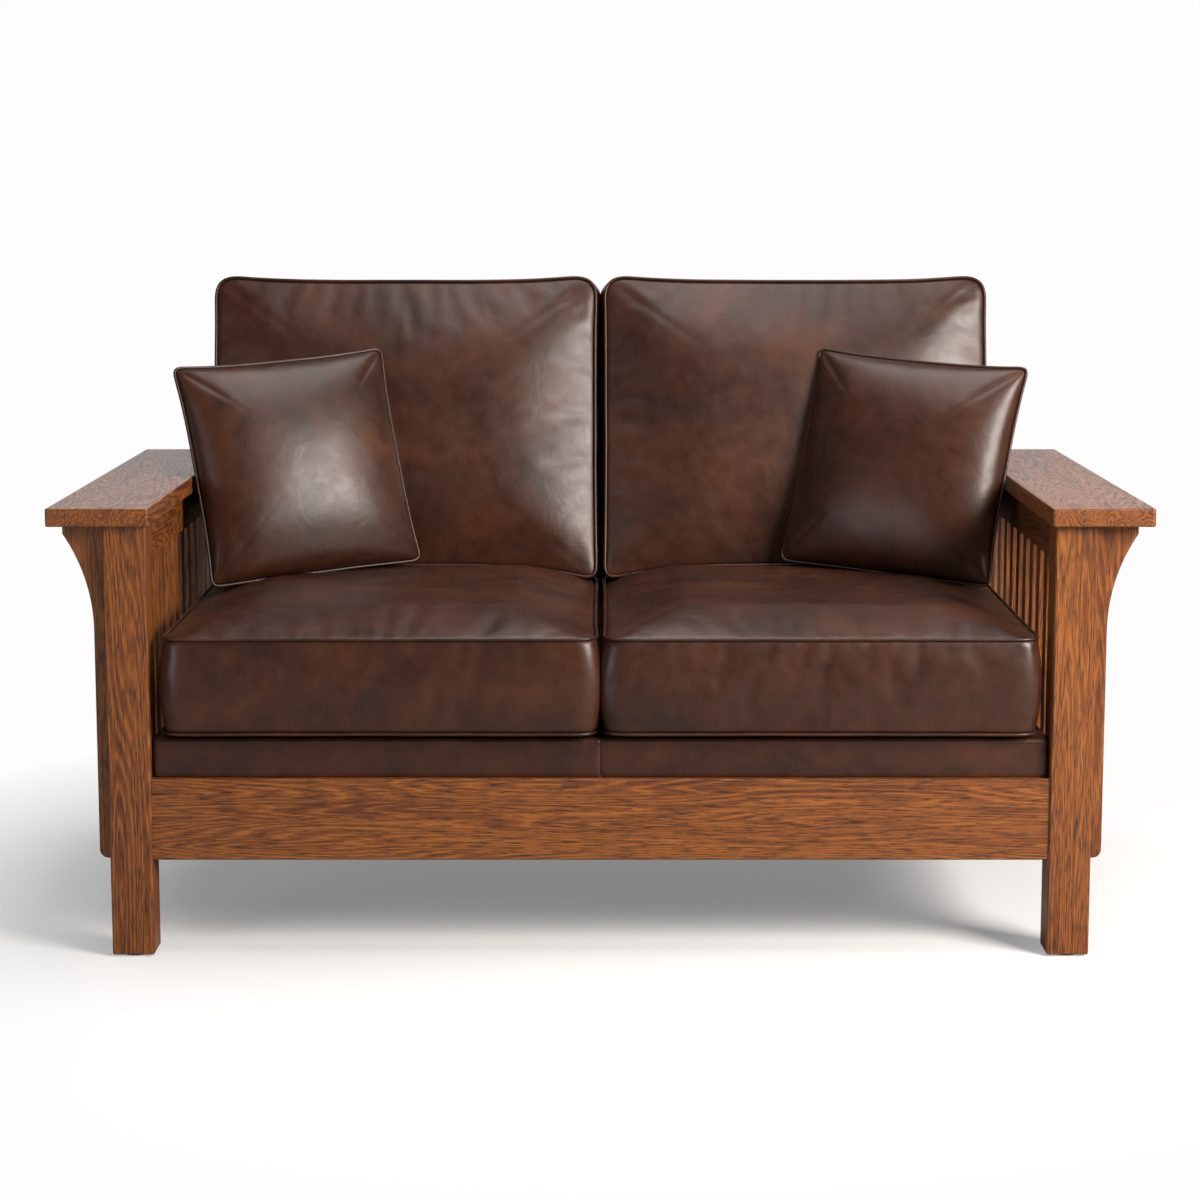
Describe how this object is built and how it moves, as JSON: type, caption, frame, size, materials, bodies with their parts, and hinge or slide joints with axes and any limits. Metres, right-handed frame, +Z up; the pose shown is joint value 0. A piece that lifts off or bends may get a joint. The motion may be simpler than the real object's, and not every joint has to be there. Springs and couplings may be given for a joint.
{
  "type": "loveseat",
  "caption": "Oak-framed settee with flat arms, spindled sides, curved corbels, boxed leather cushions and loose corner pillows.",
  "frame": {"origin": "on the floor, at the middle of the whole object's box", "axes": "+Z up, -Y towards the front of the seat, +X to the right of someone who looks at the front"},
  "size_m": [1.58, 0.909, 0.969],
  "materials": {
    "oak": "satin",
    "frame_timber": "matte",
    "brown_leather": "satin",
    "foam": "matte",
    "black_cloth": "matte",
    "steel": "satin",
    "glide": "matte"
  },
  "bodies": {
    "frame": {"leg_front_left": "oak", "leg_front_right": "oak", "leg_rear_left": "oak", "leg_rear_right": "oak", "corbel_front_left": "oak", "corbel_front_right": "oak", "corbel_rear_left": "oak", "corbel_rear_right": "oak", "arm_left": "oak", "arm_right": "oak", "side_top_rail_left": "oak", "side_top_rail_right": "oak", "side_bottom_rail_left": "oak", "side_bottom_rail_right": "oak", "side_spindles_left": "oak", "side_spindles_right": "oak", "back_stile_left": "oak", "back_stile_right": "oak", "front_rail": "oak", "rear_rail": "oak", "back_bottom_rail": "oak", "back_top_rail": "oak", "back_slats": "oak", "back_blocks": "oak", "corner_blocks": "frame_timber", "deck_cleats": "frame_timber", "deck_rail_front": "frame_timber", "deck_rail_rear": "frame_timber", "deck_rail_left": "frame_timber", "deck_rail_right": "frame_timber", "deck_rail_middle": "frame_timber", "arm_dowels": "frame_timber", "frame_screws": "steel", "back_bolts": "steel", "sinuous_springs": "steel", "spring_clips": "steel", "deck_cloth": "black_cloth", "dust_cloth": "black_cloth", "deck_pad": "foam", "deck_band_left": "brown_leather", "deck_band_right": "brown_leather", "floor_glides": "glide"},
    "seat_cushion_left": {"seat_cover_left": "brown_leather", "seat_core_left": "foam", "seat_welts_left": "brown_leather"},
    "back_cushion_left": {"back_cover_left": "brown_leather", "back_core_left": "foam", "back_welts_left": "brown_leather"},
    "pillow_left": {"pillow_cover_left": "brown_leather", "pillow_insert_left": "foam", "pillow_welt_left": "brown_leather"},
    "seat_cushion_right": {"seat_cover_right": "brown_leather", "seat_core_right": "foam", "seat_welts_right": "brown_leather"},
    "back_cushion_right": {"back_cover_right": "brown_leather", "back_core_right": "foam", "back_welts_right": "brown_leather"},
    "pillow_right": {"pillow_cover_right": "brown_leather", "pillow_insert_right": "foam", "pillow_welt_right": "brown_leather"}
  },
  "joints": [
    {"name": "seat_cushion_left_slide", "type": "slide", "parent": "frame", "child": "seat_cushion_left", "axis": [0, -1, 0], "range_m": [0, 0.6]},
    {"name": "back_cushion_left_lift", "type": "slide", "parent": "frame", "child": "back_cushion_left", "axis": [0, 0.2588, 0.9659], "range_m": [0, 0.5]},
    {"name": "pillow_left_lift", "type": "slide", "parent": "frame", "child": "pillow_left", "axis": [0, -0.5, 0.866], "range_m": [0, 0.35]},
    {"name": "seat_cushion_right_slide", "type": "slide", "parent": "frame", "child": "seat_cushion_right", "axis": [0, -1, 0], "range_m": [0, 0.6]},
    {"name": "back_cushion_right_lift", "type": "slide", "parent": "frame", "child": "back_cushion_right", "axis": [0, 0.2588, 0.9659], "range_m": [0, 0.5]},
    {"name": "pillow_right_lift", "type": "slide", "parent": "frame", "child": "pillow_right", "axis": [0, -0.5, 0.866], "range_m": [0, 0.35]}
  ]
}
